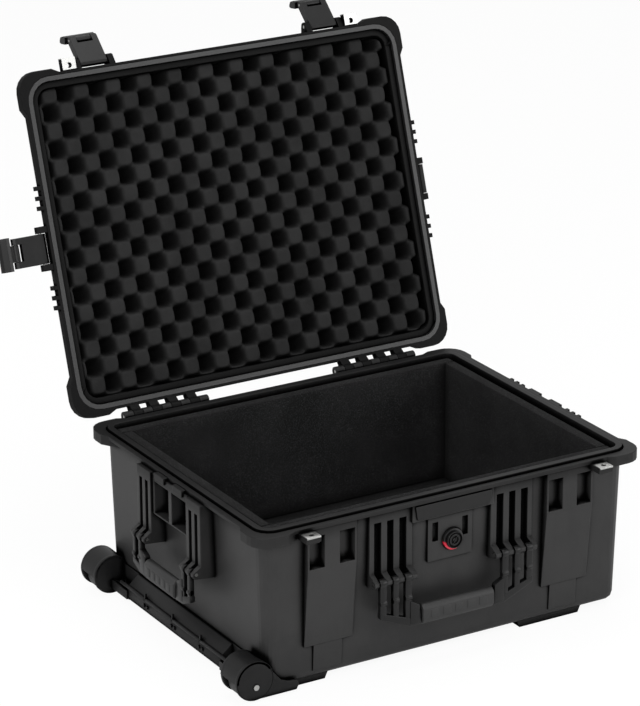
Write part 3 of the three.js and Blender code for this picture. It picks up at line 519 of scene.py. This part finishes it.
# ---------------------------------------------------------------- front and left handles
def make_handle(name, node, grip_node, body, ribs, drop, grip_half, front, turned):
    """Fingers on the pin, a second row of knuckles, a slotted slanting arm on each side, a grip.

    Made for the front face; turned puts it on the left side."""
    pin_z = HANDLE_PIN_Z
    back = front + 0.0095
    bottom = pin_z - drop
    inner = ribs[0][1]
    outer = ribs[-1][0]
    bm = bmesh.new()
    grip = bmesh.new()
    slope = 0.42
    for side in (1, -1):
        for left, right in zip(ribs[:-1], ribs[1:]):
            a = left[1] + 0.0005
            b = right[0] - 0.0005
            rise_a = bottom + slope * (a - inner)
            rise_b = bottom + slope * (b - inner)
            x0, x1 = sorted((side * a, side * b))
            bar(bm, "X", x0, x1, (front + 0.006, pin_z), 0.0062)
            strip = [(side * a, pin_z), (side * b, pin_z), (side * b, rise_b), (side * a, rise_a)]
            plate(bm, strip, "Y", front + 0.0012, back - 0.001, 0.001)
            bar(bm, "X", x0, x1, (front + 0.0036, pin_z - 0.028), 0.0042)
        low = bottom + slope * (outer - inner)
        band = [
            (side * (grip_half - 0.004), bottom),
            (side * (inner + 0.004), bottom + 0.001),
            (side * outer, low),
            (side * outer, low + 0.009),
            (side * (inner + 0.002), bottom + 0.013),
            (side * (grip_half - 0.004), bottom + 0.024),
        ]
        plate(bm, band, "Y", front + 0.0006, back, 0.0016)
        arm = [
            (side * (grip_half - 0.001), bottom + 0.001),
            (side * (inner + 0.0035), bottom + 0.004),
            (side * (inner + 0.0035), bottom + 0.038),
            (side * (grip_half + 0.003), bottom + 0.03),
        ]
        plate(bm, arm, "Y", front, back, 0.0014)
    core = [
        (front - 0.0036, bottom + 0.006),
        (front + 0.0005, bottom),
        (back, bottom + 0.0005),
        (back + 0.003, bottom + 0.006),
        (back + 0.003, bottom + 0.023),
        (back - 0.002, bottom + 0.0285),
        (front + 0.0015, bottom + 0.0285),
        (front - 0.0036, bottom + 0.023),
    ]
    plate(grip, core, "X", -grip_half, grip_half, 0.0024)
    for i in range(5):
        x = (i - 2) * grip_half * 0.34
        pad = rectangle(front - 0.0044, bottom + 0.009, front, bottom + 0.0205)
        plate(grip, pad, "X", x - grip_half * 0.11, x + grip_half * 0.11, 0.0004)
    if turned:
        for made in (bm, grip):
            bmesh.ops.rotate(made, matrix=Matrix.Rotation(-math.pi / 2, 3, "Z"), verts=made.verts)
    piece(name + "_frame", bm, fitting_finish, body, [node])
    piece(name + "_sleeve", grip, grip_finish, body, [grip_node])


make_handle(
    "front_handle",
    "front_handle",
    "front_handle_grip",
    "front_handle",
    [(0.062, 0.071), (0.082, 0.091), (0.101, 0.110), (0.121, 0.128)],
    0.071,
    0.0565,
    -0.2435,
    False,
)
make_handle(
    "left_handle",
    "left_handle",
    "left_handle_grip",
    "left_handle",
    [(0.050, 0.057), (0.065, 0.073), (0.081, 0.088)],
    0.052,
    0.0415,
    -0.319,
    True,
)


# ---------------------------------------------------------------- wheel carrier
CARRIER_IN = -0.2804
RIDGE = -0.3034
POD_IN = 0.1785
POD_OUT = 0.2225
AXLE_X = -0.2985


def make_carrier():
    """Beam with a lip along its ridge, an open ribbed pocket beside each wheel, and two housings."""
    bm = bmesh.new()
    pocket = 0.132
    section = [
        (CARRIER_IN, 0.0445),
        (CARRIER_IN - 0.004, 0.0445),
        (RIDGE + 0.0035, 0.0315),
        (RIDGE + 0.0022, 0.0128),
        (RIDGE + 0.006, 0.0096),
        (CARRIER_IN, 0.0096),
    ]
    plate(bm, section, "Y", -pocket, pocket, 0.001)
    lip = [
        (RIDGE + 0.0036, 0.0308),
        (RIDGE + 0.0030, 0.0334),
        (RIDGE + 0.0008, 0.0330),
        (RIDGE, 0.0314),
        (RIDGE, 0.0292),
        (RIDGE + 0.0036, 0.0292),
    ]
    stops = (-0.150, -0.0795, -0.0765, -0.0015, 0.0015, 0.0765, 0.0795, 0.150)
    for low, high in zip(stops[::2], stops[1::2]):
        plate(bm, lip, "Y", low, high, 0.0004)
    for middle in (-0.078, 0.0, 0.078):
        for shift in (-0.0045, 0.0045):
            clip = [
                (RIDGE + 0.003, 0.0235),
                (RIDGE + 0.0006, 0.0225),
                (RIDGE + 0.0006, 0.0195),
                (RIDGE + 0.003, 0.0175),
            ]
            plate(bm, clip, "Y", middle + shift - 0.0016, middle + shift + 0.0016, 0.0003)
        notch = [
            (RIDGE + 0.0004, 0.040),
            (RIDGE + 0.004, 0.040),
            (RIDGE + 0.004, 0.030),
            (RIDGE + 0.0004, 0.030),
        ]
        plate(bm, notch, "Y", middle - 0.0012, middle + 0.0012, 0.0004)
    foot_line = [
        (RIDGE + 0.0012, 0.0142),
        (RIDGE + 0.0052, 0.0096),
        (RIDGE + 0.0072, 0.0096),
        (RIDGE + 0.0032, 0.0150),
    ]
    plate(bm, foot_line, "Y", -0.150, 0.150, 0.0004)
    for side in (1, -1):
        # Pocket beside the housing: floor, back, outer band and two crossing ribs
        near = side * (pocket - 0.001)
        far = side * (POD_IN + 0.001)
        low, high = sorted((near, far))
        floor = [
            (CARRIER_IN, 0.0096),
            (CARRIER_IN, 0.0125),
            (RIDGE + 0.003, 0.0145),
            (RIDGE + 0.004, 0.0096),
        ]
        plate(bm, floor, "Y", low, high, 0.0004)
        back_wall = [
            (CARRIER_IN, 0.0096),
            (CARRIER_IN, 0.0445),
            (CARRIER_IN - 0.002, 0.0445),
            (CARRIER_IN - 0.002, 0.0096),
        ]
        plate(bm, back_wall, "Y", low, high, 0.0004)
        band = [
            (RIDGE + 0.0022, 0.0110),
            (RIDGE + 0.0005, 0.0110),
            (RIDGE + 0.0005, 0.0240),
            (RIDGE + 0.0022, 0.0240),
        ]
        plate(bm, band, "Y", low, high, 0.0004)
        outside = RIDGE + 0.002
        for start, end in (
            ((CARRIER_IN, near), (outside, far)),
            ((outside, near), (CARRIER_IN, far)),
        ):
            run = Vector((end[0] - start[0], end[1] - start[1]))
            off = Vector((-run.y, run.x)).normalized() * 0.0007
            rib = [
                (start[0] + off.x, start[1] + off.y),
                (end[0] + off.x, end[1] + off.y),
                (end[0] - off.x, end[1] - off.y),
                (start[0] - off.x, start[1] - off.y),
            ]
            plate(bm, rib, "Z", 0.0125, 0.0235)
        make_housing(bm, side)
    piece("carrier_beam", bm, carrier_finish, "base", ["wheel_carrier"])


def make_housing(bm, side):
    """Wheel housing: outer disc with a raised rim and a tail under the case, hood, inner disc."""
    centre_x = AXLE_X - 0.001
    centre_z = 0.030
    radius = 0.028
    out = side * POD_OUT
    skin = side * (POD_OUT - 0.0055)
    inner_a = side * POD_IN
    inner_b = side * (POD_IN + 0.0055)
    low, high = sorted((skin, out - side * 0.0006))
    bar(bm, "Y", low, high, (centre_x, centre_z), radius, 0.0012, 48)
    low, high = sorted((inner_a, inner_b))
    bar(bm, "Y", low, high, (centre_x, centre_z), radius, 0.0012, 48)
    tail = [
        (centre_x, 0.0025),
        (-0.2364, 0.0025),
        (-0.2324, 0.010),
        (-0.2364, 0.017),
        (-0.2500, 0.0185),
        (-0.2600, 0.0225),
        (-0.2690, 0.0330),
        (-0.2760, 0.0420),
        (centre_x, 0.0445),
    ]
    low, high = sorted((skin, out - side * 0.0011))
    plate(bm, tail, "Y", low, high, 0.0014)
    hood = []
    for i in range(13):
        angle = math.radians(30 + 150 * i / 12)
        hood.append((centre_x + radius * math.cos(angle), centre_z + radius * math.sin(angle)))
    for i in range(12, -1, -1):
        angle = math.radians(30 + 150 * i / 12)
        reach = radius - 0.0035
        hood.append((centre_x + reach * math.cos(angle), centre_z + reach * math.sin(angle)))
    low, high = sorted((inner_a, out - side * 0.0006))
    plate(bm, hood, "Y", low, high)
    rim = bmesh.new()
    bmesh.ops.create_circle(rim, cap_ends=False, segments=48, radius=radius - 0.0006)
    ring = rim.edges[:]
    grown = bmesh.ops.extrude_edge_only(rim, edges=ring)
    moved = [item for item in grown["geom"] if isinstance(item, bmesh.types.BMVert)]
    bmesh.ops.scale(rim, vec=(0.955, 0.955, 1.0), verts=moved)
    bmesh.ops.solidify(rim, geom=rim.faces[:], thickness=0.0008)
    bmesh.ops.rotate(rim, matrix=Matrix.Rotation(math.pi / 2, 3, "X"), verts=rim.verts)
    bmesh.ops.translate(rim, vec=(centre_x, out - side * 0.0006, centre_z), verts=rim.verts)
    bmesh.ops.recalc_face_normals(rim, faces=rim.faces)
    add_to(bm, rim)


make_carrier()


# ---------------------------------------------------------------- padlock plates on the base
def make_padlock_plate(side):
    """Thin steel tab with a hole, on a dark bracket."""
    node = "base_padlock_plate_" + side
    low, high = (Vector(corner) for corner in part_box(node))
    thick = 0.0026
    bm = block((low.x, low.y, high.z - thick), high)
    soften(bm, 0.0006, 2)
    cutter = bmesh.new()
    middle = ((low.x + high.x) / 2, (low.y + high.y) / 2)
    bar(cutter, "Z", high.z - 0.01, high.z + 0.01, middle, 0.0036, 0)
    tab = piece(node + "_tab", bm, steel_finish, "base", [node])
    tool = bpy.data.meshes.new("hole")
    cutter.to_mesh(tool)
    cutter.free()
    tool_object = bpy.data.objects.new("hole", tool)
    bpy.context.scene.collection.objects.link(tool_object)
    cut = tab.modifiers.new("hole", "BOOLEAN")
    cut.object = tool_object
    cut.operation = "DIFFERENCE"
    cut.solver = "EXACT"
    shape = bpy.data.meshes.new_from_object(
        tab.evaluated_get(bpy.context.evaluated_depsgraph_get())
    )
    tab.modifiers.remove(cut)
    bpy.data.objects.remove(tool_object)
    shape.name = node + "_tab"
    tab.data = shape
    bm = block(
        (low.x + 0.0012, low.y + 0.0022, low.z), (high.x - 0.0012, high.y, high.z - thick - 0.0002)
    )
    soften(bm, 0.0008, 2)
    piece(node + "_bracket", bm, fitting_finish, "base")


make_padlock_plate("left")
make_padlock_plate("right")


# ---------------------------------------------------------------- valve
def make_knob():
    """Turned knob face: rim, grooves and a middle hub, with a coin slot."""
    bm = bmesh.new()
    steps = (
        (0.0, -0.2298),
        (0.0028, -0.2298),
        (0.0034, -0.2288),
        (0.0052, -0.2288),
        (0.0058, -0.2302),
        (0.0082, -0.2302),
        (0.0088, -0.2292),
        (0.0102, -0.2292),
        (0.0108, -0.2310),
        (0.0116, -0.2310),
        (0.0122, -0.2300),
        (0.0122, -0.2270),
        (0.0, -0.2268),
    )
    corners = [bm.verts.new((radius, depth, 0.0)) for radius, depth in steps]
    edges = [bm.edges.new(pair) for pair in zip(corners[:-1], corners[1:])]
    bmesh.ops.spin(
        bm,
        geom=corners + edges,
        cent=(0, 0, 0),
        axis=(0, 1, 0),
        angle=math.tau,
        steps=40,
        use_merge=True,
    )
    bmesh.ops.remove_doubles(bm, verts=bm.verts, dist=1e-6)
    bmesh.ops.recalc_face_normals(bm, faces=bm.faces)
    bmesh.ops.translate(bm, vec=(VALVE_X, 0, VALVE_Z), verts=bm.verts)
    slot = [(-0.0010, 0.1595), (0.0068, 0.1720), (0.0078, 0.1714), (0.0, 0.1589)]
    plate(bm, slot, "Y", -0.2304, -0.2285, 0.0002)
    piece("valve_knob_face", bm, fitting_finish, "valve_knob", ["valve_knob"])


make_knob()


# ---------------------------------------------------------------- room, light and camera
world = bpy.data.worlds.new("studio")
bpy.context.scene.world = world
world.use_nodes = True
tree = world.node_tree
tree.nodes.clear()
output = tree.nodes.new("ShaderNodeOutputWorld")
shown = tree.nodes.new("ShaderNodeBackground")
lit = tree.nodes.new("ShaderNodeBackground")
mix = tree.nodes.new("ShaderNodeMixShader")
path = tree.nodes.new("ShaderNodeLightPath")
shown.inputs["Color"].default_value = (1, 1, 1, 1)
shown.inputs["Strength"].default_value = 1.0
lit.inputs["Color"].default_value = (1, 1, 1, 1)
lit.inputs["Strength"].default_value = 0.5
share = path.outputs["Is Camera Ray"]
for kind in ("Is Glossy Ray", "Is Transmission Ray"):
    either = tree.nodes.new("ShaderNodeMath")
    either.operation = "MAXIMUM"
    tree.links.new(share, either.inputs[0])
    tree.links.new(path.outputs[kind], either.inputs[1])
    share = either.outputs[0]
tree.links.new(share, mix.inputs[0])
tree.links.new(lit.outputs[0], mix.inputs[1])
tree.links.new(shown.outputs[0], mix.inputs[2])
tree.links.new(mix.outputs[0], output.inputs["Surface"])


def lamp(name, place, target, size, power):
    light = bpy.data.lights.new(name, "AREA")
    light.shape = "RECTANGLE"
    light.size, light.size_y = size
    light.energy = power
    made = bpy.data.objects.new(name, light)
    bpy.context.scene.collection.objects.link(made)
    made.location = place
    away = Vector(place) - Vector(target)
    made.rotation_euler = away.to_track_quat("Z", "Y").to_euler()
    return made


lamp("key", (-2.6, -2.2, 2.2), (0, 0, 0.25), (1.8, 1.4), 90)
lamp("fill", (2.2, -2.6, 1.4), (0, 0, 0.3), (2.0, 1.6), 40)
lamp("top", (0.0, 0.2, 3.2), (0, 0, 0.2), (2.2, 2.2), 50)

floor_mesh = bmesh.new()
bmesh.ops.create_grid(floor_mesh, x_segments=1, y_segments=1, size=12.0)
bmesh.ops.translate(floor_mesh, vec=(0, 0, -0.0006), verts=floor_mesh.verts)
floor_data = bpy.data.meshes.new("floor")
floor_mesh.to_mesh(floor_data)
floor_mesh.free()
floor = bpy.data.objects.new("floor", floor_data)
bpy.context.scene.collection.objects.link(floor)
pale = Shader("pale_floor")
pale.feed(Base_Color=(0.9, 0.9, 0.9, 1), Roughness=0.9, Specular_IOR_Level=0.1)
ray = pale.tree.nodes.new("ShaderNodeLightPath")
glow = pale.tree.nodes.new("ShaderNodeEmission")
glow.inputs["Color"].default_value = (1, 1, 1, 1)
seen = Val(pale, ray.outputs["Is Camera Ray"]) * 0.93
pale.show_mix(seen, pale.surface.outputs[0], glow.outputs[0])
floor_data.materials.append(pale.material)

# Camera: to the front left of the case and above it, far off with a long lens
TURN = math.radians(-30.672)
TILT = math.radians(20.376)
ROLL = math.radians(-0.236)
DISTANCE = 4.83391
SIDEWAYS = -0.058868
UPWARDS = 0.115718
LENS = 197.843625

back = Vector(
    (math.sin(TURN) * math.cos(TILT), -math.cos(TURN) * math.cos(TILT), math.sin(TILT))
)
level = Vector((0, 0, 1)).cross(back).normalized()
upright = back.cross(level)
right = math.cos(ROLL) * level + math.sin(ROLL) * upright
up = -math.sin(ROLL) * level + math.cos(ROLL) * upright
eye = back * DISTANCE + right * SIDEWAYS + up * UPWARDS + Vector((0, 0, RIM))
lens = bpy.data.cameras.new("camera")
lens.sensor_fit = "HORIZONTAL"
lens.sensor_width = 36
lens.lens = LENS
camera = bpy.data.objects.new("camera", lens)
bpy.context.scene.collection.objects.link(camera)
turn = Matrix((right, up, back)).transposed().to_4x4()
camera.matrix_world = Matrix.Translation(eye) @ turn
bpy.context.scene.camera = camera
bpy.context.scene.view_settings.view_transform = "Standard"

bpy.context.view_layer.update()
